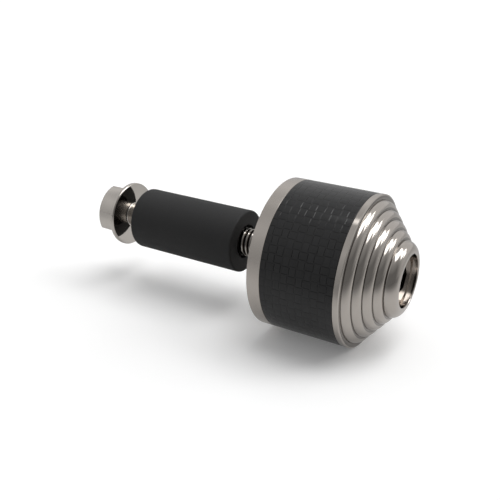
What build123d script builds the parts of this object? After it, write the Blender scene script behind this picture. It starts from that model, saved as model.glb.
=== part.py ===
from build123d import *
import math
import os

# Bar end weight for a handlebar, lying on its barrel, in millimetres.
# X runs along the axis towards the nose and Z is up. The origin is on the axis, in the plane of the
# face that meets the handlebar's end. The draw bolt reaches the other way, into the bar.

# Barrel: end disc, carbon sleeve and the lip of the nose share one diameter
barrel_diameter = 40.0
disc_thickness = 3.7
sleeve_length = 19.6
sleeve_wall = 1.5
spigot_diameter = 24.0
spigot_depth = 1.5
edge_break = 0.12

# Ridged nose
lip_length = 1.4
ridge_count = 5
lip_bulge = 0.15
first_groove_step = 0.22
first_groove_depth = 1.4
ridge_pitch = 1.82
ridge_drop = 2.17
ridge_bulge = 0.58
crown_reach = 2.78
crown_radius = 7.35
crown_bulge = 0.83
mouth_chamfer = 0.15

# Socket nut in the nose
socket_width = 6.0
socket_depth = 4.5
nut_head_diameter = 13.2
nut_head_height = 8.0
nut_head_recess = 1.8
nut_head_chamfer = 0.6
nut_barrel_diameter = 11.0
nut_rear_gap = 1.0
head_side_gap = 0.3

# Draw bolt
thread_diameter = 8.0
thread_length = 41.0
thread_chamfer = 0.8
thread_engagement = 7.8
shank_diameter = 6.4
shank_root_flare = 0.4
flange_diameter = 18.7
flange_thickness = 1.3
flange_rim_chamfer = 0.4
bolt_head_diameter = 16.0
bolt_head_length = 5.4
bolt_head_flats = 13.0
bolt_head_turn = 59.0
bolt_head_chamfer = 0.3

# Expander plug, with a gap to the flange behind it and to the end disc in front of it
plug_diameter = 17.5
plug_length = 34.0
plug_end_round = 0.5
plug_mouth_diameter = 9.3
plug_mouth_depth = 1.2
plug_rear_gap = 5.9
plug_front_gap = 11.9

# Clearances, and how close an edge must be to the place and radius it is looked up by
running_clearance = 0.05
bolt_hole_clearance = 0.2
match_tolerance = 0.0001

# Places along the axis
disc_front = disc_thickness
spigot_rear = disc_front - spigot_depth
sleeve_front = disc_front + sleeve_length
lip_end = sleeve_front + lip_length
first_groove = lip_end + first_groove_step
last_groove = first_groove + (ridge_count - 1) * ridge_pitch
nose_end = last_groove + crown_reach
nut_head_front = nose_end - nut_head_recess
nut_head_seat = nut_head_front - nut_head_height
socket_floor = nut_head_front - socket_depth
nut_barrel_rear = spigot_rear + nut_rear_gap
plug_front = -plug_front_gap
plug_rear = plug_front - plug_length
flange_front = plug_rear - plug_rear_gap
flange_rear = flange_front - flange_thickness
bolt_head_rear = flange_rear - bolt_head_length
bolt_tip = nut_barrel_rear + thread_engagement
thread_start = bolt_tip - thread_length

# Radii
barrel_radius = barrel_diameter / 2
core_radius = barrel_radius - sleeve_wall
spigot_radius = spigot_diameter / 2
thread_radius = thread_diameter / 2
threaded_bore_radius = thread_radius + running_clearance
bolt_hole_radius = thread_radius + bolt_hole_clearance
nut_barrel_radius = nut_barrel_diameter / 2
nut_bore_radius = nut_barrel_radius + running_clearance
counterbore_radius = nut_head_diameter / 2 + head_side_gap


def rims(part, place, radius):
    """The round edges of a turned part at one place along the axis."""
    found = []
    for edge in part.edges().filter_by(GeomType.CIRCLE):
        same_place = math.isclose(edge.arc_center.X, place, abs_tol=match_tolerance)
        if same_place and math.isclose(edge.radius, radius, abs_tol=match_tolerance):
            found.append(edge)
    return found


def turned(steps):
    """A stepped shaft about X. Each step is its start, its end and its radius."""
    shaft = Part()
    for start, end, radius in steps:
        shaft += Plane.YZ.offset(start) * extrude(Circle(radius), end - start)
    return shaft


def groove(index):
    """The bottom of one groove of the nose, as its place along the axis and its radius."""
    place = first_groove + index * ridge_pitch
    radius = barrel_radius - first_groove_depth - index * ridge_drop
    return (place, radius)


def make_weight_body():
    """Core, lip and ridged nose, turned as one piece and bored through for the nut."""
    crown = (nose_end, crown_radius)
    with BuildPart() as body:
        with BuildSketch(Plane.XY):
            with BuildLine():
                start = (spigot_rear, 0)
                Polyline(
                    start,
                    (spigot_rear, spigot_radius),
                    (disc_front, spigot_radius),
                    (disc_front, core_radius),
                    (sleeve_front, core_radius),
                    (sleeve_front, barrel_radius - edge_break),
                    (sleeve_front + edge_break, barrel_radius),
                    (lip_end, barrel_radius),
                )
                SagittaArc((lip_end, barrel_radius), groove(0), lip_bulge)
                for index in range(ridge_count - 1):
                    SagittaArc(groove(index), groove(index + 1), ridge_bulge)
                SagittaArc(groove(ridge_count - 1), crown, crown_bulge)
                Polyline(crown, (nose_end, 0), start)
            make_face()
        revolve(axis=Axis.X)
    body = body.part
    body -= turned([(spigot_rear, nut_head_seat, nut_bore_radius)])
    body -= turned([(nut_head_seat, nose_end, counterbore_radius)])
    return chamfer(rims(body, nose_end, counterbore_radius), mouth_chamfer)


def make_carbon_sleeve():
    """Tube round the core, between the end disc and the lip."""
    sleeve = turned([(disc_front, sleeve_front, barrel_radius)])
    sleeve -= turned([(disc_front, sleeve_front, core_radius)])
    ends = rims(sleeve, disc_front, barrel_radius) + rims(sleeve, sleeve_front, barrel_radius)
    return chamfer(ends, edge_break)


def make_end_disc():
    """Disc with a hole for the bolt and a recess that centres it on the core's spigot."""
    disc = turned([(0, disc_front, barrel_radius)])
    disc -= turned([(0, disc_front, bolt_hole_radius)])
    disc -= turned([(spigot_rear, disc_front, spigot_radius)])
    edges = rims(disc, 0, barrel_radius) + rims(disc, disc_front, barrel_radius)
    return chamfer(edges, edge_break)


def make_socket_nut():
    """Head with a hexagon socket, on a long barrel that is threaded from the far end."""
    nut = turned(
        [
            (nut_barrel_rear, nut_head_seat, nut_barrel_radius),
            (nut_head_seat, nut_head_front, nut_head_diameter / 2),
        ]
    )
    nut = chamfer(rims(nut, nut_head_front, nut_head_diameter / 2), nut_head_chamfer)
    nut -= turned([(nut_barrel_rear, socket_floor, threaded_bore_radius)])
    hexagon = RegularPolygon(socket_width / 2, 6, major_radius=False)
    nut -= Plane.YZ.offset(socket_floor) * extrude(hexagon, socket_depth)
    return nut


def make_draw_bolt():
    """Head with two flats, flange, waisted shank and threaded end, in one piece."""
    head = turned([(bolt_head_rear, flange_rear, bolt_head_diameter / 2)])
    head = chamfer(rims(head, bolt_head_rear, bolt_head_diameter / 2), bolt_head_chamfer)
    align = (Align.MIN, Align.CENTER, Align.CENTER)
    flats = Box(bolt_head_length, bolt_head_flats, bolt_head_diameter, align=align)
    head &= Pos(bolt_head_rear, 0, 0) * Rot(X=bolt_head_turn) * flats
    shaft = turned(
        [
            (flange_rear, flange_front, flange_diameter / 2),
            (flange_front, thread_start, shank_diameter / 2),
            (thread_start, bolt_tip, thread_radius),
        ]
    )
    flange_rims = rims(shaft, flange_front, flange_diameter / 2)
    flange_rims += rims(shaft, flange_rear, flange_diameter / 2)
    shaft = chamfer(flange_rims, flange_rim_chamfer)
    shaft = chamfer(rims(shaft, flange_front, shank_diameter / 2), shank_root_flare)
    shaft = chamfer(rims(shaft, bolt_tip, thread_radius), thread_chamfer)
    return shaft + head


def make_expander_plug():
    """Rubber sleeve that fits the thread and flares a little at each end."""
    mouth_radius = plug_mouth_diameter / 2
    plug = turned([(plug_rear, plug_front, plug_diameter / 2)])
    ends = rims(plug, plug_rear, plug_diameter / 2) + rims(plug, plug_front, plug_diameter / 2)
    plug = fillet(ends, plug_end_round)
    plug -= turned([(plug_rear, plug_front, threaded_bore_radius)])
    plug -= turned([(plug_rear, plug_rear + plug_mouth_depth, mouth_radius)])
    plug -= turned([(plug_front - plug_mouth_depth, plug_front, mouth_radius)])
    return plug


os.makedirs("parts", exist_ok=True)
export_step(make_weight_body(), "parts/weight_body.step")
export_step(make_carbon_sleeve(), "parts/carbon_sleeve.step")
export_step(make_end_disc(), "parts/end_disc.step")
export_step(make_socket_nut(), "parts/socket_nut.step")
export_step(make_draw_bolt(), "parts/draw_bolt.step")
export_step(make_expander_plug(), "parts/expander_plug.step")
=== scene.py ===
import bmesh
import bpy
import math
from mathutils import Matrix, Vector


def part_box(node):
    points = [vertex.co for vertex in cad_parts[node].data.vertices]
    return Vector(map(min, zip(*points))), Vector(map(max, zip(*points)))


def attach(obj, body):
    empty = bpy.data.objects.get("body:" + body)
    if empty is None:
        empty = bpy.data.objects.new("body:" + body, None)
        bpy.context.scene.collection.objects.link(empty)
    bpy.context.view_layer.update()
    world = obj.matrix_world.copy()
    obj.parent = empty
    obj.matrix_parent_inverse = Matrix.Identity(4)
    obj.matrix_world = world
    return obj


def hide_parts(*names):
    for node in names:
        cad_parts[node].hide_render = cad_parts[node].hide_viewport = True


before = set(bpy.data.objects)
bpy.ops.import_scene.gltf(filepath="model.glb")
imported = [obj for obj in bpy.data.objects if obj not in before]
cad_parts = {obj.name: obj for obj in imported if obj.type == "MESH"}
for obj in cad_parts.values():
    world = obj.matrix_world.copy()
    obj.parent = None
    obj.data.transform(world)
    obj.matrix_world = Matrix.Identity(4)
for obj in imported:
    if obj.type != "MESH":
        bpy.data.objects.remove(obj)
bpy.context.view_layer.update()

# Looks of a bar end weight. X runs along the axis towards the nose, and Z is up. Shapes are given in
# millimetres, and a profile is a list of places along the axis with the radius at each.
MM = 0.001
DECIMALS = 3
FULL_TURN = 2 * math.pi
WHITE = (1, 1, 1, 1)

# Fineness of the meshes. Smooth shading leans at the edge of a rounding, so a point just outside it, by
# the hold gap, keeps the straight face beside it flat.
SEGMENTS = 192
ARC_STEPS = 18
ROUND_STEPS = 5
THREAD_STEPS = 72
HOLD_GAP = 0.05
SHARP_ANGLE = math.radians(28)
MERGE_DISTANCE = 1e-7


def extent(node):
    """Where a turned node of the frame starts and ends along the axis, and its radius. The node's mesh
    has corners all round, so the radius is the furthest that it reaches to any side."""
    low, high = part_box(node)
    reach = max(-low.y, -low.z, high.y, high.z)
    return [round(value / MM, DECIMALS) for value in (low.x, high.x, reach)]


# Barrel
DISC_REAR, DISC_FRONT, BARREL_RADIUS = extent("end_disc")
SLEEVE_FRONT = extent("carbon_sleeve")[1]
SLEEVE_WALL = 1.5
CORE_RADIUS = BARREL_RADIUS - SLEEVE_WALL
SPIGOT_REAR, NOSE_END = extent("weight_body")[:2]
SPIGOT_RADIUS = 12.0
BOLT_HOLE_RADIUS = 4.2
EDGE_BREAK = 0.12

# Nose, with the bores for its nut. A groove and the crown are each a place and a radius.
LIP_LENGTH = 1.4
LIP_END = SLEEVE_FRONT + LIP_LENGTH
LIP_BULGE = 0.15
FIRST_GROOVE_STEP = 0.22
FIRST_GROOVE_DEPTH = 1.4
FIRST_GROOVE = (LIP_END + FIRST_GROOVE_STEP, BARREL_RADIUS - FIRST_GROOVE_DEPTH)
RIDGE_COUNT = 5
RIDGE_PITCH = 1.82
RIDGE_DROP = 2.17
RIDGE_BULGE = 0.58
CROWN_RADIUS = 7.35
CROWN = (NOSE_END, CROWN_RADIUS)
CROWN_BULGE = 0.83
COUNTERBORE_RADIUS = 6.9
COUNTERBORE_DEPTH = 9.8
MOUTH_CHAMFER = 0.15
NUT_SEAT = NOSE_END - COUNTERBORE_DEPTH
NUT_BORE_RADIUS = 5.55

# Draw bolt. The head's shares are of its reach at any angle.
HEAD_REAR, BOLT_TIP, FLANGE_RADIUS = extent("draw_bolt")
HEAD_LENGTH = 5.4
HEAD_RADIUS = 8.0
HEAD_FLAT = 6.5
HEAD_TURN = math.radians(59)
HEAD_EDGE = 0.3
HEAD_FACE_SHARE = 0.5
HEAD_RIM_SHARE = 0.9
LEAST_COSINE = 0.01
FLANGE_THICKNESS = 1.3
FLANGE_REAR = HEAD_REAR + HEAD_LENGTH
FLANGE_FRONT = FLANGE_REAR + FLANGE_THICKNESS
SHANK_RADIUS = 3.2
THREAD_LENGTH = 41.0
THREAD_START = BOLT_TIP - THREAD_LENGTH
TIP_CHAMFER = 0.8
THREAD_PITCH = 1.25
THREAD_RADIUS = 4.0
THREAD_ROOT = 3.27

# One turn of the worn thread, with steep flanks and a round crest and root. Each pair is a share of the
# pitch and the share of the thread's height there.
THREAD_FORM = [
    (0.0, 0.0), (0.06, 0.03), (0.10, 0.12), (0.20, 0.82), (0.24, 0.89), (0.46, 0.985), (0.5, 1.0),
    (0.54, 0.985), (0.76, 0.89), (0.80, 0.82), (0.90, 0.12), (0.94, 0.03), (1.0, 0.0),
]

# Expander plug
PLUG_REAR, PLUG_FRONT, PLUG_RADIUS = extent("expander_plug")
PLUG_END_ROUND = 0.5
PLUG_BORE_RADIUS = 4.05
PLUG_MOUTH_RADIUS = 4.65
PLUG_MOUTH_DEPTH = 1.2

# Smaller roundings
INNER_ROUND = 0.1
LIP_ROUND = 0.05
MOUTH_ROUND = 0.04
BOLT_HOLE_ROUND = 0.2
FLANGE_ROUND = 0.4
PLUG_MOUTH_ROUND = 0.25


def arc(start, end, bulge):
    """Points after start, up to end, on the arc that stands out by bulge from their chord."""
    start, end = Vector(start), Vector(end)
    along = (end - start).normalized()
    out = Vector((-along.y, along.x))
    half = (end - start).length / 2
    radius = (half * half + bulge * bulge) / (2 * bulge)
    centre = (start + end) / 2 + out * (bulge - radius)
    reach = math.atan2(half, radius - bulge)
    points = []
    for step in range(1, ARC_STEPS + 1):
        angle = reach * (2 * step / ARC_STEPS - 1)
        points.append(centre + out * radius * math.cos(angle) + along * radius * math.sin(angle))
    return [(point.x, point.y) for point in points]


def rounded(points):
    """A closed profile, with each corner rounded to the radius that it gives as its third number."""
    result = []
    for index, point in enumerate(points):
        if len(point) == 2:
            result.append(point)
            continue
        corner, radius = Vector(point[:2]), point[2]
        back = Vector(points[index - 1][:2]) - corner
        ahead = Vector(points[(index + 1) % len(points)][:2]) - corner
        room_back, room_ahead = back.length, ahead.length
        back.normalize()
        ahead.normalize()
        half = back.angle(ahead) / 2
        centre = corner + (back + ahead).normalized() * radius / math.sin(half)
        first = corner + back * radius / math.tan(half) - centre
        last = corner + ahead * radius / math.tan(half) - centre
        sweep = first.angle(last)
        hold = radius / math.tan(half) + HOLD_GAP
        if room_back > hold + 2 * HOLD_GAP:
            result.append(tuple(corner + back * hold))
        for step in range(ROUND_STEPS + 1):
            share = step / ROUND_STEPS
            spoke = first * math.sin((1 - share) * sweep) + last * math.sin(share * sweep)
            result.append(tuple(centre + spoke / math.sin(sweep)))
        if room_ahead > hold + 2 * HOLD_GAP:
            result.append(tuple(corner + ahead * hold))
    return result


def mesh_object(name, verts, faces):
    """An object from points in millimetres, smooth but for its sharp edges."""
    mesh = bpy.data.meshes.new(name)
    mesh.from_pydata([(x * MM, y * MM, z * MM) for x, y, z in verts], [], faces)
    work = bmesh.new()
    work.from_mesh(mesh)
    bmesh.ops.remove_doubles(work, verts=work.verts, dist=MERGE_DISTANCE)
    bmesh.ops.recalc_face_normals(work, faces=work.faces)
    work.to_mesh(mesh)
    work.free()
    mesh.shade_smooth()
    mesh.set_sharp_from_angle(angle=SHARP_ANGLE)
    obj = bpy.data.objects.new(name, mesh)
    bpy.context.scene.collection.objects.link(obj)
    return obj


def ring_point(x, radius, angle):
    """A point at a place along the axis, a radius and an angle about the axis."""
    return (x, radius * math.cos(angle), radius * math.sin(angle))


def even_angles():
    """Angles once round the axis, evenly spaced."""
    return [FULL_TURN * index / SEGMENTS for index in range(SEGMENTS)]


def full_reach(radius, angle):
    """The reach of a round section: its radius, all the way round."""
    return radius


def turned(name, profile, angles=None, reach=full_reach):
    """A piece turned about X from a closed profile, with a point at each angle. Where its section isn't
    round, reach gives how far it stands out at an angle."""
    angles = angles or even_angles()
    verts = [ring_point(x, reach(radius, angle), angle) for x, radius in profile for angle in angles]
    count, rows = len(angles), len(profile)
    faces = []
    for row in range(rows):
        next_row = (row + 1) % rows
        if profile[row][1] == 0 and profile[next_row][1] == 0:
            continue
        for side in range(count):
            next_side = (side + 1) % count
            near = (row * count + side, row * count + next_side)
            far = (next_row * count + next_side, next_row * count + side)
            faces.append(near + far)
    return mesh_object(name, verts, faces)


def nose_profile():
    """Spigot, core and lip, then the ridges as arcs between groove bottoms, the crown and the bores."""
    points = rounded([
        (SPIGOT_REAR, NUT_BORE_RADIUS, INNER_ROUND),
        (SPIGOT_REAR, SPIGOT_RADIUS, INNER_ROUND),
        (DISC_FRONT, SPIGOT_RADIUS),
        (DISC_FRONT, CORE_RADIUS),
        (SLEEVE_FRONT, CORE_RADIUS),
        (SLEEVE_FRONT, BARREL_RADIUS - EDGE_BREAK),
        (SLEEVE_FRONT + EDGE_BREAK, BARREL_RADIUS, LIP_ROUND),
        (LIP_END, BARREL_RADIUS),
    ])
    points += arc((LIP_END, BARREL_RADIUS), FIRST_GROOVE, LIP_BULGE)
    groove = FIRST_GROOVE
    for _ in range(RIDGE_COUNT - 1):
        next_groove = (groove[0] + RIDGE_PITCH, groove[1] - RIDGE_DROP)
        points += arc(groove, next_groove, RIDGE_BULGE)
        groove = next_groove
    points += arc(groove, CROWN, CROWN_BULGE)
    bores = rounded([
        CROWN,
        (CROWN[0], COUNTERBORE_RADIUS + MOUTH_CHAMFER, MOUTH_ROUND),
        (CROWN[0] - MOUTH_CHAMFER, COUNTERBORE_RADIUS, MOUTH_ROUND),
        (NUT_SEAT, COUNTERBORE_RADIUS),
        (NUT_SEAT, NUT_BORE_RADIUS, INNER_ROUND),
        (SPIGOT_REAR, NUT_BORE_RADIUS),
    ])
    return points + bores[1:-1]


def sleeve_profile():
    """A plain tube round the core."""
    return rounded([
        (DISC_FRONT, CORE_RADIUS),
        (DISC_FRONT, BARREL_RADIUS, EDGE_BREAK),
        (SLEEVE_FRONT, BARREL_RADIUS, EDGE_BREAK),
        (SLEEVE_FRONT, CORE_RADIUS),
    ])


def disc_profile():
    """The disc, with its hole for the bolt and its recess for the spigot."""
    return rounded([
        (DISC_REAR, BOLT_HOLE_RADIUS, BOLT_HOLE_ROUND),
        (DISC_REAR, BARREL_RADIUS, EDGE_BREAK),
        (DISC_FRONT, BARREL_RADIUS, EDGE_BREAK),
        (DISC_FRONT, SPIGOT_RADIUS),
        (SPIGOT_REAR, SPIGOT_RADIUS),
        (SPIGOT_REAR, BOLT_HOLE_RADIUS, INNER_ROUND),
    ])


def plug_profile():
    """The rubber sleeve, whose bore opens out a little at each end."""
    return rounded([
        (PLUG_REAR, PLUG_MOUTH_RADIUS, PLUG_MOUTH_ROUND),
        (PLUG_REAR, PLUG_RADIUS, PLUG_END_ROUND),
        (PLUG_FRONT, PLUG_RADIUS, PLUG_END_ROUND),
        (PLUG_FRONT, PLUG_MOUTH_RADIUS, PLUG_MOUTH_ROUND),
        (PLUG_FRONT - PLUG_MOUTH_DEPTH, PLUG_MOUTH_RADIUS),
        (PLUG_FRONT - PLUG_MOUTH_DEPTH, PLUG_BORE_RADIUS, INNER_ROUND),
        (PLUG_REAR + PLUG_MOUTH_DEPTH, PLUG_BORE_RADIUS, INNER_ROUND),
        (PLUG_REAR + PLUG_MOUTH_DEPTH, PLUG_MOUTH_RADIUS),
    ])


def flange_profile():
    """The bolt's flange and its plain shank, up to the thread."""
    return rounded([
        (FLANGE_REAR, 0),
        (FLANGE_REAR, FLANGE_RADIUS, FLANGE_ROUND),
        (FLANGE_FRONT, FLANGE_RADIUS, FLANGE_ROUND),
        (FLANGE_FRONT, SHANK_RADIUS, FLANGE_ROUND),
        (THREAD_START, SHANK_RADIUS),
        (THREAD_START, 0),
    ])


def head_reach(share, angle):
    """How far the bolt's head stands out at an angle, cut short by its two flats. The share is of the
    whole reach within the end face, and at the rim it gives the same rounding on round and flat."""
    flatness = max(abs(math.cos(angle - HEAD_TURN)), LEAST_COSINE)
    full = min(HEAD_RADIUS, HEAD_FLAT / flatness)
    if share < HEAD_RIM_SHARE:
        return full * share
    return full - (1 - share) * HEAD_RADIUS


def head_piece():
    """Round head with two flats, its edges slightly rounded all along."""
    corner = math.acos(HEAD_FLAT / HEAD_RADIUS)
    corners = [HEAD_TURN + side + edge for side in (0, math.pi) for edge in (-corner, corner)]
    angles = sorted(even_angles() + [angle % FULL_TURN for angle in corners])
    inner = 1 - HEAD_EDGE / HEAD_RADIUS
    profile = [(HEAD_REAR, 0), (HEAD_REAR, HEAD_FACE_SHARE)]
    for step in range(ROUND_STEPS + 1):
        turn = math.pi / 2 * step / ROUND_STEPS
        place = HEAD_REAR + HEAD_EDGE * (1 - math.cos(turn))
        profile.append((place, inner + (1 - inner) * math.sin(turn)))
    profile += [(FLANGE_REAR, 1), (FLANGE_REAR, 0)]
    return turned("bolt_head", profile, angles, head_reach)


def thread_radius(place, phase):
    """The thread's radius, cut back at the bolt's tip and where the thread runs out on the shank."""
    phase %= 1
    for (low, below), (high, above) in zip(THREAD_FORM, THREAD_FORM[1:]):
        if phase <= high:
            height = below + (above - below) * ((phase - low) / (high - low))
            break
    formed = THREAD_ROOT + (THREAD_RADIUS - THREAD_ROOT) * height
    tip = THREAD_RADIUS - TIP_CHAMFER + (BOLT_TIP - place)
    start = SHANK_RADIUS + (place - THREAD_START)
    return min(formed, tip, start)


def thread_piece():
    """Right-hand thread, as one sheet wound round the bolt and closed by a fan at each end. It is wound
    past both ends, and what lies past an end is pressed back to it."""
    turns = int((BOLT_TIP - THREAD_START) / THREAD_PITCH) + 3
    rows = [turn + place for turn in range(-1, turns) for place, _ in THREAD_FORM[:-1]]
    count = len(rows)
    verts = []
    for step in range(THREAD_STEPS):
        share = step / THREAD_STEPS
        for row in rows:
            place = THREAD_START + THREAD_PITCH * (row + share)
            place = min(max(place, THREAD_START), BOLT_TIP)
            radius = thread_radius(place, (place - THREAD_START) / THREAD_PITCH - share)
            verts.append(ring_point(place, radius, FULL_TURN * share))
    faces = []
    for step in range(THREAD_STEPS - 1):
        for row in range(count - 1):
            here, beside = step * count + row, (step + 1) * count + row
            faces.append((here, beside, beside + 1, here + 1))
    one_turn = len(THREAD_FORM) - 1
    last = (THREAD_STEPS - 1) * count
    for row in range(count - 1 - one_turn):
        faces.append((last + row, row + one_turn, row + one_turn + 1, last + row + 1))
    for place, end in ((THREAD_START, 0), (BOLT_TIP, count - 1)):
        centre = len(verts)
        verts.append((place, 0, 0))
        for step in range(THREAD_STEPS):
            next_step = (step + 1) % THREAD_STEPS
            faces.append((centre, step * count + end, next_step * count + end))
    return mesh_object("bolt_thread", verts, faces)


class Nodes:
    """Short ways to build the nodes of a material or of the world."""

    # The mix node's sockets for colours, which come after those for numbers and vectors
    MIX_FIRST = 6
    MIX_SECOND = 7
    MIX_RESULT = 2

    def __init__(self, tree):
        self.tree = tree
        tree.nodes.clear()

    def add(self, kind, **values):
        node = self.tree.nodes.new(kind)
        for key, value in values.items():
            setattr(node, key, value)
        return node

    def put(self, socket, value):
        if isinstance(value, bpy.types.NodeSocket):
            self.tree.links.new(value, socket)
        else:
            socket.default_value = value

    def calc(self, operation, *values, clamp=False):
        node = self.add("ShaderNodeMath", operation=operation, use_clamp=clamp)
        for socket, value in zip(node.inputs, values):
            self.put(socket, value)
        return node.outputs[0]

    def plus(self, total, *others):
        for value in others:
            total = self.calc("ADD", total, value)
        return total

    def minus(self, first, second):
        return self.calc("SUBTRACT", first, second)

    def times(self, total, *others):
        for value in others:
            total = self.calc("MULTIPLY", total, value)
        return total

    def ratio(self, first, second):
        return self.calc("DIVIDE", first, second)

    def length(self, *sides):
        """The length of a line from its extent along each axis."""
        return self.calc("SQRT", self.plus(*[self.times(side, side) for side in sides]))

    def span(self, value, low, high, start=0.0, end=1.0, smooth=True):
        """A level that goes from start to end while the value goes from low to high."""
        node = self.add("ShaderNodeMapRange")
        node.interpolation_type = "SMOOTHSTEP" if smooth else "LINEAR"
        for socket, item in zip(node.inputs, (value, low, high, start, end)):
            self.put(socket, item)
        return node.outputs[0]

    def mix(self, share, first, second):
        node = self.add("ShaderNodeMix", data_type="RGBA")
        self.put(node.inputs[0], share)
        self.put(node.inputs[self.MIX_FIRST], first)
        self.put(node.inputs[self.MIX_SECOND], second)
        return node.outputs[self.MIX_RESULT]

    def noise(self, place, scale, detail=3.0, dimensions="3D"):
        node = self.add("ShaderNodeTexNoise", noise_dimensions=dimensions)
        self.put(node.inputs["W" if dimensions == "1D" else "Vector"], place)
        self.put(node.inputs["Scale"], scale)
        self.put(node.inputs["Detail"], detail)
        return node.outputs["Fac"]

    def chance(self, first, second):
        """A random number from 0 to 1 for each pair of whole numbers."""
        pair = self.add("ShaderNodeCombineXYZ")
        self.put(pair.inputs[0], first)
        self.put(pair.inputs[1], second)
        node = self.add("ShaderNodeTexWhiteNoise", noise_dimensions="2D")
        self.put(node.inputs["Vector"], pair.outputs[0])
        return node.outputs["Value"]

    def ramp(self, value, stops):
        """A level that runs through the stops, each with its place from 0 to 1."""
        node = self.add("ShaderNodeValToRGB")
        elements = node.color_ramp.elements
        while len(elements) < len(stops):
            elements.new(0.5)
        for element, (place, level) in zip(elements, stops):
            element.position = place
            element.color = (level, level, level, 1)
        self.put(node.inputs[0], value)
        return node.outputs[0]

    def by_degrees(self, angle, low, high, stops):
        """A level by an angle in radians, from stops that are given in degrees between low and high."""
        share = self.span(angle, math.radians(low), math.radians(high), smooth=False)
        return self.ramp(share, [((degrees - low) / (high - low), level) for degrees, level in stops])

    def bump(self, height, distance, strength, normal=None):
        node = self.add("ShaderNodeBump")
        self.put(node.inputs["Strength"], strength)
        self.put(node.inputs["Distance"], distance)
        self.put(node.inputs["Height"], height)
        if normal is not None:
            self.put(node.inputs["Normal"], normal)
        return node.outputs[0]

    def leaning(self, amount):
        """The surface's normal, leant towards the nose by the amount."""
        push = self.add("ShaderNodeCombineXYZ")
        self.put(push.inputs[0], amount)
        total = self.add("ShaderNodeVectorMath", operation="ADD")
        self.put(total.inputs[0], self.add("ShaderNodeNewGeometry").outputs["Normal"])
        self.put(total.inputs[1], push.outputs[0])
        unit = self.add("ShaderNodeVectorMath", operation="NORMALIZE")
        self.put(unit.inputs[0], total.outputs[0])
        return unit.outputs[0]

    def coords(self, kind="Object"):
        """Where a point is on its object, in metres. In the world, Generated is a ray's direction."""
        return self.add("ShaderNodeTexCoord").outputs[kind]

    def split(self, vector):
        node = self.add("ShaderNodeSeparateXYZ")
        self.put(node.inputs[0], vector)
        return node.outputs

    def shader(self, **values):
        """The material's surface. Each value's name is its socket's, with _ for each space."""
        node = self.add("ShaderNodeBsdfPrincipled")
        for name, value in values.items():
            self.put(node.inputs[name.replace("_", " ")], value)
        self.put(self.add("ShaderNodeOutputMaterial").inputs["Surface"], node.outputs[0])


def material(name):
    made = bpy.data.materials.new(name)
    made.use_nodes = True
    return made, Nodes(made.node_tree)


def shade(color, share):
    """A colour made darker or lighter, with its alpha."""
    return tuple(min(channel * share, 1) for channel in color) + (1,)


# Turned steel. Scales are per metre. The painted shade in the nose's grooves starts a little before
# each groove's bottom, and ends over a share of the ridges' pitch. The satin starts just in front of
# the bolt's flange.
STEEL = (0.53, 0.49, 0.452)
# The nut's steel is darker than the rest, as painted shade for its place deep in the counterbore.
SHADED_NUT_STEEL = (0.36, 0.33, 0.305)
PALE_STEEL = (0.575, 0.54, 0.50)
RING_SCALE = 9000.0
RING_STRENGTH = 0.35
WEAR_SCALE = 160.0
SMUDGE_SCALE = 900.0
TINT_SPREAD = 0.03
GROOVE_LEAD = 0.04
GROOVE_EDGE = (0.03, 0.13)
GROOVE_LEAST = 0.30
GROOVE_SHADE = 0.2
SEAM_SHADE = 0.25
SATIN_LEAD = 0.02
SATIN_ROUGHNESS = 0.26


def steel(name, color, roughness, spread, ring_depth, shaded_grooves=False, satin=False, shaded_joint=False):
    """Turned and polished steel: fine rings left by the tool, and a polish that varies by the spread.
    Where asked, painted shade darkens the bottom of each of the nose's grooves. Satin leaves the bolt's
    shank duller, and painted shade can darken the disc's front edge in its joint with the sleeve."""
    made, n = material(name)
    coords = n.coords()
    x, y, z = n.split(coords)
    rings = n.noise(n.plus(x, n.length(y, z)), RING_SCALE, dimensions="1D")
    wear = n.noise(coords, WEAR_SCALE, detail=4.0)
    smudge = n.noise(coords, SMUDGE_SCALE, detail=2.0)
    rough = n.plus(roughness, n.times(n.minus(wear, 0.5), spread))
    rough = n.calc("ADD", rough, n.times(n.minus(smudge, 0.5), spread / 2), clamp=True)
    tint = n.mix(wear, shade(color, 1 - TINT_SPREAD), shade(color, 1 + TINT_SPREAD))
    # Painted shade in the bottom of each of the nose's grooves
    if shaded_grooves:
        along = n.ratio(n.minus(x, (FIRST_GROOVE[0] - GROOVE_LEAD) * MM), RIDGE_PITCH * MM)
        unshaded = n.span(n.calc("FRACT", along), *GROOVE_EDGE, GROOVE_LEAST, 1.0)
        unshaded = n.calc("MAXIMUM", unshaded, n.calc("LESS_THAN", along, 0.0))
        unshaded = n.calc("MAXIMUM", unshaded, n.calc("GREATER_THAN", along, RIDGE_COUNT - 0.5))
        tint = n.mix(unshaded, shade(color, GROOVE_SHADE), tint)
    # Painted shade on the disc's front edge rounding, in its joint with the sleeve
    if shaded_joint:
        edge = [(DISC_FRONT - inset) * MM for inset in (EDGE_BREAK, EDGE_BREAK / 2)]
        unshaded = n.span(x, *edge, 1.0, 0.0)
        tint = n.mix(unshaded, shade(color, SEAM_SHADE), tint)
    if satin:
        shank = n.calc("GREATER_THAN", x, (FLANGE_FRONT + SATIN_LEAD) * MM)
        rough = n.calc("MAXIMUM", rough, n.times(shank, SATIN_ROUGHNESS))
    normal = n.bump(rings, ring_depth, RING_STRENGTH)
    n.shader(Base_Color=tint, Metallic=1.0, Roughness=rough, Normal=normal)
    return made


# Rolled thread. It goes from dark to bright between two radii, and again just ahead of the plug's face.
# The dark in its roots, and inside the plug up to just past its face, is painted shade.
THREAD_EDGE = (3.40, 3.62)
ROOT_LEVEL = 0.05
PLUG_SHADE_EDGE = (0.1, 0.5)
PLUG_SHADE_LEVEL = 0.08
THREAD_WEAR_SCALE = 700.0
THREAD_WEAR = (0.3, 0.7)
THREAD_WORN_LEVEL = 0.8
THREAD_SHADES = (0.02, 0.72)
THREAD_ROUGHNESS = (0.06, 0.14)


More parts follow.
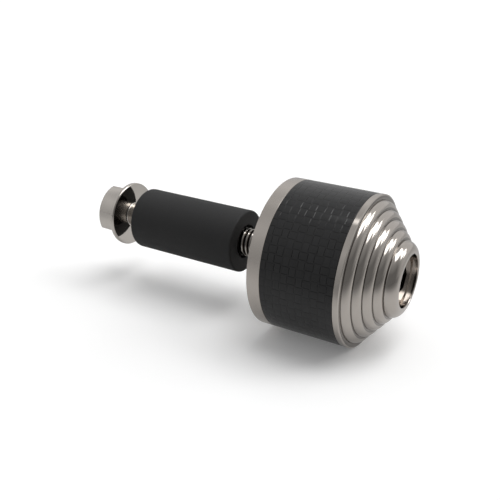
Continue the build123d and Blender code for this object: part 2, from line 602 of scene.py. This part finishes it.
def thread(name, color):
    """Rolled thread: bright flanks and crests, with painted shade in its roots and inside the plug, up
    to just past its face.
    """
    made, n = material(name)
    coords = n.coords()
    x, y, z = n.split(coords)
    wear = n.noise(coords, THREAD_WEAR_SCALE)
    # Painted shade in the thread's roots, and inside the plug up to just past its face
    flank = n.span(n.length(y, z), *[radius * MM for radius in THREAD_EDGE], ROOT_LEVEL, 1.0)
    ahead = n.span(x, *[(PLUG_FRONT + gap) * MM for gap in PLUG_SHADE_EDGE], PLUG_SHADE_LEVEL, 1.0)
    bright = n.times(flank, ahead, n.span(wear, *THREAD_WEAR, THREAD_WORN_LEVEL, 1.0))
    tint = n.mix(bright, *[shade(color, share) for share in THREAD_SHADES])
    rough = n.span(wear, *THREAD_WEAR, *THREAD_ROUGHNESS)
    n.shader(Base_Color=tint, Metallic=1.0, Roughness=rough)
    return made


# Carbon weave. Its places were fitted to the sleeve's front edge and to the crossing lines. Places and
# heights in a tow are shares of its width, from its middle, and chances are ranges of a random number.
TOW_WIDTH = 2.04
TOW_START = 0.431
TOWS_ROUND = 58
TOW_TURN = -0.139
LINE_INNER = (0.36, 0.42)
LINE_OUTER = (0.45, 0.5)
LINE_ENDS = (0.36, 0.5)
LINE_END_LEVEL = 0.3
LINE_CHANCE = (0.0, 0.8)
LINE_LEAST = 0.35
GLINT_ENDS = (0.32, 0.48)
GLINT_CHANCE = (0.1, 0.8)
GLINT_LEAST = 0.4
GLINT_LEAN = (0.235, 0.28)
GLINT_STARTS = 0.05
FIBRE_SCALE = 26.0
FIBRE_SHIFT = 7.3
CRIMP_HEIGHT = 0.012
FIBRE_HEIGHT = 0.002
CARBON_DARK = (0.001, 0.001, 0.001, 1)
CARBON_LIGHT = (0.023, 0.023, 0.0238, 1)
TONE_BASE = 0.6
TONE_OF_FIBRE = 0.5
TOW_BASE = 0.94
TOW_LIFT = 0.08
CARBON_ROUGHNESS = (0.40, 0.17)
CARBON_SPECULAR = (0.2, 0.3)
COAT_WEIGHT = 0.45
COAT_ROUGHNESS = 0.06
COAT_IOR = 1.38


def carbon(name):
    """Plain weave carbon fibre under clear gloss. Where a tow dives under its neighbour there is a dark
    line. Where a tow along the axis does so, its fibres lean towards the nose, so that some of these
    lines near the top catch the light."""
    made, n = material(name)
    x, y, z = n.split(n.coords())
    lengthwise = n.plus(n.ratio(x, TOW_WIDTH * MM), TOW_START)
    round_about = n.times(n.calc("ARCTAN2", z, y), TOWS_ROUND / FULL_TURN)
    round_about = n.plus(round_about, TOWS_ROUND + TOW_TURN)
    column, row = n.calc("FLOOR", lengthwise), n.calc("FLOOR", round_about)
    in_column = n.minus(n.calc("FRACT", lengthwise), 0.5)
    in_row = n.minus(n.calc("FRACT", round_about), 0.5)
    on_top = n.calc("LESS_THAN", n.calc("MODULO", n.plus(column, row), 2.0), 0.5)
    along = n.plus(n.times(on_top, n.minus(in_column, in_row)), in_row)
    across = n.plus(n.times(on_top, n.minus(in_row, in_column)), in_column)
    from_middle, from_centre_line = n.calc("ABSOLUTE", along), n.calc("ABSOLUTE", across)

    line = n.times(n.span(from_middle, *LINE_INNER), n.span(from_middle, *LINE_OUTER, 1.0, 0.0))
    line = n.times(line, n.span(from_centre_line, *LINE_ENDS, 1.0, LINE_END_LEVEL))
    line_level = n.span(n.chance(column, row), *LINE_CHANCE, LINE_LEAST, 1.0)
    clear = n.minus(1.0, n.times(line, line_level))

    end_chance = n.chance(n.calc("FLOOR", n.plus(lengthwise, 0.5)), row)
    glint = n.times(on_top, n.span(from_centre_line, *GLINT_ENDS, 1.0, 0.0))
    glint = n.times(line, glint, n.span(end_chance, *GLINT_CHANCE, GLINT_LEAST, 1.0))
    lean = n.span(end_chance, 0.0, 1.0, *GLINT_LEAN)
    lean = n.times(n.calc("GREATER_THAN", glint, GLINT_STARTS), lean)

    crimp = n.times(*[n.calc("COSINE", n.times(place, math.pi)) for place in (along, across)])
    fibre = n.plus(across, n.times(column, FIBRE_SHIFT))
    fibre = n.noise(fibre, FIBRE_SCALE, dimensions="1D")
    height = n.plus(n.times(crimp, CRIMP_HEIGHT), n.times(fibre, FIBRE_HEIGHT))
    tone = n.times(clear, n.plus(TONE_BASE, n.times(fibre, TONE_OF_FIBRE)))
    tow_tone = n.plus(TOW_BASE, n.times(on_top, TOW_LIFT))
    tone = n.calc("MULTIPLY", tone, tow_tone, clamp=True)
    n.shader(
        Base_Color=n.mix(tone, CARBON_DARK, CARBON_LIGHT),
        Metallic=0.0,
        Roughness=n.span(glint, 0.0, 1.0, *CARBON_ROUGHNESS),
        Normal=n.bump(height, TOW_WIDTH * MM, 1.0, n.leaning(lean)),
        Specular_IOR_Level=n.span(glint, 0.0, 1.0, *CARBON_SPECULAR),
        Coat_Weight=COAT_WEIGHT,
        Coat_Roughness=COAT_ROUGHNESS,
        Coat_IOR=COAT_IOR,
    )
    return made


# Rubber, with its scales per metre and the depth of its grain in metres
RUBBER_DARK = (0.013, 0.013, 0.0135, 1)
RUBBER_LIGHT = (0.018, 0.018, 0.0185, 1)
GRAIN_SCALE = 5200.0
GRAIN_DEPTH = 0.00002
GRAIN_STRENGTH = 0.5
GRAIN_RANGE = (0.3, 0.7)
CLOUD_SCALE = 140.0
RUBBER_ROUGHNESS = (0.62, 0.74)
RUBBER_SPECULAR = 0.45


def rubber(name):
    """Matt rubber with a fine grain and slightly cloudy colour."""
    made, n = material(name)
    coords = n.coords()
    grain = n.noise(coords, GRAIN_SCALE)
    cloud = n.noise(coords, CLOUD_SCALE)
    n.shader(
        Base_Color=n.mix(cloud, RUBBER_DARK, RUBBER_LIGHT),
        Metallic=0.0,
        Roughness=n.span(grain, *GRAIN_RANGE, *RUBBER_ROUGHNESS),
        Normal=n.bump(grain, GRAIN_DEPTH, GRAIN_STRENGTH),
        Specular_IOR_Level=RUBBER_SPECULAR,
    )
    return made


# Each steel's roughness, the spread of it, and the depth of its turned rings in metres
nose_steel = steel("nose_steel", STEEL, roughness=0.12, spread=0.05, ring_depth=5e-7, shaded_grooves=True)
disc_steel = steel("disc_steel", STEEL, roughness=0.22, spread=0.06, ring_depth=1e-6, shaded_joint=True)
nut_steel = steel("nut_steel", SHADED_NUT_STEEL, roughness=0.10, spread=0.05, ring_depth=5e-7)
bolt_steel = steel("bolt_steel", PALE_STEEL, roughness=0.10, spread=0.04, ring_depth=4e-7)
thread_steel = thread("thread_steel", PALE_STEEL)
mirror_steel = steel(
    "mirror_steel", PALE_STEEL, roughness=0.05, spread=0.03, ring_depth=2e-7, satin=True
)
carbon_weave = carbon("carbon_weave")
plug_rubber = rubber("plug_rubber")


def paint(obj, made):
    """Give an object one material, in place of any others."""
    obj.data.materials.clear()
    obj.data.materials.append(made)


def dress(obj, made, body, node):
    """Put a piece on its body, in place of a node, with its material."""
    paint(obj, made)
    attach(obj, body)
    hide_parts(node)


nose = turned("ridged_nose", nose_profile())
dress(nose, nose_steel, "weight", "weight_body")
sleeve = turned("woven_sleeve", sleeve_profile())
dress(sleeve, carbon_weave, "weight", "carbon_sleeve")
disc = turned("rear_disc", disc_profile())
dress(disc, disc_steel, "weight", "end_disc")
plug = turned("rubber_plug", plug_profile())
dress(plug, plug_rubber, "plug", "expander_plug")
flange = turned("bolt_flange", flange_profile())
dress(flange, mirror_steel, "bolt", "draw_bolt")
dress(head_piece(), bolt_steel, "bolt", "draw_bolt")
dress(thread_piece(), thread_steel, "bolt", "draw_bolt")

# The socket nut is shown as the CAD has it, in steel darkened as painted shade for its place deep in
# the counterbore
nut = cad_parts["socket_nut"]
paint(nut, nut_steel)

# Floor. Its levels are what it gives back to the object, what the camera sees of it, and the light that
# it adds. Its image in the metal fades with the distance from the object, less at the left and behind
# than towards the camera and the nose. A fade's stops are a nearness, which is 1 under the object, and
# the level there. The side fade's share is by the direction from the fade's centre, in degrees.
FLOOR_LEVEL = -BARREL_RADIUS * MM
FLOOR_REACH = 12.0
FLOOR_BOUNCE = 0.58
FLOOR_SEEN = 0.95
FLOOR_LIFT = 0.12
FADE_HEIGHT = 20.0 * MM
FADE_CENTRE = 12.0 * MM
FADE_REAR = -58.0 * MM
FADE_FRONT = 34.0 * MM
FRONT_FADE = [(0.0, 0.26), (0.105, 0.34), (0.208, 0.54), (0.309, 0.77), (0.407, 0.9), (0.6, 1.0)]
SIDE_FADE = [(0.0, 0.66), (0.2, 0.75), (0.31, 0.85), (0.4, 0.92), (0.6, 1.0)]
SIDE_SHARE = [(-180, 1.0), (-28, 1.0), (-10, 0.0), (94, 0.0), (110, 1.0), (180, 1.0)]


def floor_fade(n):
    """The level of the floor's image in the metal, by place on the floor."""
    x, y = n.split(n.coords())[:2]
    nearest = n.calc("MINIMUM", n.calc("MAXIMUM", x, FADE_REAR), FADE_FRONT)
    nearness = n.ratio(FADE_HEIGHT, n.length(n.minus(x, nearest), y, FADE_HEIGHT))
    direction = n.calc("ARCTAN2", n.minus(x, FADE_CENTRE), n.times(y, -1.0))
    sideways = n.by_degrees(direction, -180, 180, SIDE_SHARE)
    return n.mix(sideways, n.ramp(nearness, FRONT_FADE), n.ramp(nearness, SIDE_FADE))


def floor_white():
    """White to the camera and in the metal, and a matt floor that keeps the object's shadow."""
    made, n = material("floor_white")
    path = n.add("ShaderNodeLightPath").outputs
    by_camera = path["Is Camera Ray"]
    mirrored = n.calc("ADD", path["Is Glossy Ray"], path["Is Transmission Ray"], clamp=True)
    kept = n.minus(1.0, n.times(mirrored, n.minus(1.0, floor_fade(n))))
    level = n.times(n.plus(FLOOR_BOUNCE, n.times(by_camera, FLOOR_SEEN - FLOOR_BOUNCE)), kept)
    tone = n.add("ShaderNodeCombineColor")
    for channel in tone.inputs:
        n.put(channel, level)
    diffuse = n.add("ShaderNodeBsdfDiffuse")
    n.put(diffuse.inputs["Color"], tone.outputs[0])
    lift = n.add("ShaderNodeEmission")
    n.put(lift.inputs["Color"], WHITE)
    n.put(lift.inputs["Strength"], n.times(n.plus(by_camera, n.times(mirrored, kept)), FLOOR_LIFT))
    both = n.add("ShaderNodeAddShader")
    n.put(both.inputs[0], diffuse.outputs[0])
    n.put(both.inputs[1], lift.outputs[0])
    n.put(n.add("ShaderNodeOutputMaterial").inputs["Surface"], both.outputs[0])
    return made


floor_mesh = bpy.data.meshes.new("floor")
floor_corners = [(-1, -1), (1, -1), (1, 1), (-1, 1)]
floor_verts = [(x * FLOOR_REACH, y * FLOOR_REACH, FLOOR_LEVEL) for x, y in floor_corners]
floor_mesh.from_pydata(floor_verts, [], [(0, 1, 2, 3)])
floor_mesh.materials.append(floor_white())
floor = bpy.data.objects.new("floor", floor_mesh)
bpy.context.scene.collection.objects.link(floor)

# Studio walls: dark on the camera's side, and pale to its left and right and behind the object. The
# levels of a wall are by elevation, and its share is by direction, all in degrees.
LOWEST, HIGHEST = -10, 90
FRONT = [(-10, 0.2), (0, 0.177), (32, 0.18), (42, 0.255), (54, 0.31), (66, 0.40), (90, 0.5)]
LEFT = [
    (-10, 0.50), (0, 0.53), (20, 0.64), (30, 0.72), (40, 0.77), (50, 0.63), (60, 0.53), (90, 0.5),
]
RIGHT_LEVEL = 0.70
LEFT_SHARE = [
    (-180, 1.0), (-125, 1.0), (-95, 0.82), (-45, 0.82), (-30, 0.58), (-20, 0.51), (-12, 0.0),
    (180, 0.0),
]
RIGHT_SHARE = [
    (-180, 0.0), (72, 0.0), (84, 0.17), (96, 0.41), (108, 0.65), (120, 0.78), (140, 1.0), (180, 1.0),
]

# Strip box overhead, with wavy edges and a small light at one corner. A direction meets its level plane
# some way ahead along the strip and some way aside of it, both as shares of the plane's height.
STRIP_AZIMUTH = math.radians(132)
STRIP_LEVEL = 3.8
STRIP_NEAR = (-0.12, -0.04)
STRIP_FAR = (2.1, 2.5)
STRIP_LEFT = (-0.24, -0.14)
STRIP_RIGHT = (0.2, 0.44)
LEAST_RISE = 0.05
CORNER_AHEAD = -0.165
CORNER_ASIDE = -0.285
CORNER_EDGE = (0.02, 0.14)
CORNER_SHARE = 0.42
WAVE_RATE = 6.5
WAVE_START = 4.5
WAVE_SIZE = 0.2
WAVE_FADE = (0.15, 0.4)


def studio_walls(n, dx, dy, dz):
    """The walls' light by direction."""
    azimuth = n.calc("ARCTAN2", dx, n.times(dy, -1.0))
    elevation = n.calc("ARCSINE", dz)
    front = n.by_degrees(elevation, LOWEST, HIGHEST, FRONT)
    left = n.by_degrees(elevation, LOWEST, HIGHEST, LEFT)
    left_share = n.by_degrees(azimuth, -180, 180, LEFT_SHARE)
    right_share = n.by_degrees(azimuth, -180, 180, RIGHT_SHARE)
    walls = n.plus(front, n.times(left_share, n.minus(left, front)))
    return n.plus(walls, n.times(right_share, n.minus(RIGHT_LEVEL, front)))


def strip_box(n, dx, dy, dz):
    """How much of the strip box a direction meets, from 0 to 1."""
    sine, cosine = math.sin(STRIP_AZIMUTH), math.cos(STRIP_AZIMUTH)
    rise = n.calc("MAXIMUM", dz, LEAST_RISE)
    ahead = n.ratio(n.plus(n.times(dx, sine), n.times(dy, -cosine)), rise)
    aside = n.ratio(n.plus(n.times(dx, -cosine), n.times(dy, -sine)), rise)
    from_corner = n.length(n.minus(ahead, CORNER_AHEAD), n.minus(aside, CORNER_ASIDE))
    wave = n.calc("SINE", n.plus(n.times(ahead, WAVE_RATE), WAVE_START))
    wave = n.times(wave, n.span(ahead, *WAVE_FADE))
    aside = n.plus(aside, n.times(wave, WAVE_SIZE))
    inside = n.times(
        n.span(ahead, *STRIP_NEAR),
        n.span(ahead, *STRIP_FAR, 1.0, 0.0),
        n.span(aside, *STRIP_LEFT),
        n.span(aside, *STRIP_RIGHT, 1.0, 0.0),
    )
    return n.calc("MAXIMUM", inside, n.span(from_corner, *CORNER_EDGE, CORNER_SHARE, 0.0))


# The world lights the object by direction, and the camera itself sees white
world = bpy.data.worlds.new("studio")
bpy.context.scene.world = world
world.use_nodes = True
sky = Nodes(world.node_tree)
direction = sky.split(sky.coords("Generated"))
strip = sky.times(strip_box(sky, *direction), STRIP_LEVEL)
light = sky.plus(studio_walls(sky, *direction), strip)
by_camera = sky.add("ShaderNodeLightPath").outputs["Is Camera Ray"]
to_white = sky.times(by_camera, sky.minus(1.0, light))
background = sky.add("ShaderNodeBackground")
sky.put(background.inputs["Color"], WHITE)
sky.put(background.inputs["Strength"], sky.plus(light, to_white))
sky.put(sky.add("ShaderNodeOutputWorld").inputs["Surface"], background.outputs[0])

# Camera, as solved from the photograph's circles
SENSOR_WIDTH = 36.0
FOCAL_LENGTH = 51.58
NEAREST_SEEN = 0.01
CAMERA_PLACE = (0.08169, -0.15518, 0.08163)
CAMERA_TILT = math.radians(65.068)
CAMERA_TURN = math.radians(30.781)
camera_data = bpy.data.cameras.new("camera")
camera_data.sensor_width = SENSOR_WIDTH
camera_data.lens = FOCAL_LENGTH
camera_data.clip_start = NEAREST_SEEN
camera = bpy.data.objects.new("camera", camera_data)
camera.location = CAMERA_PLACE
camera.rotation_euler = (CAMERA_TILT, 0, CAMERA_TURN)
bpy.context.scene.collection.objects.link(camera)
bpy.context.scene.camera = camera
bpy.context.scene.view_settings.view_transform = "Standard"
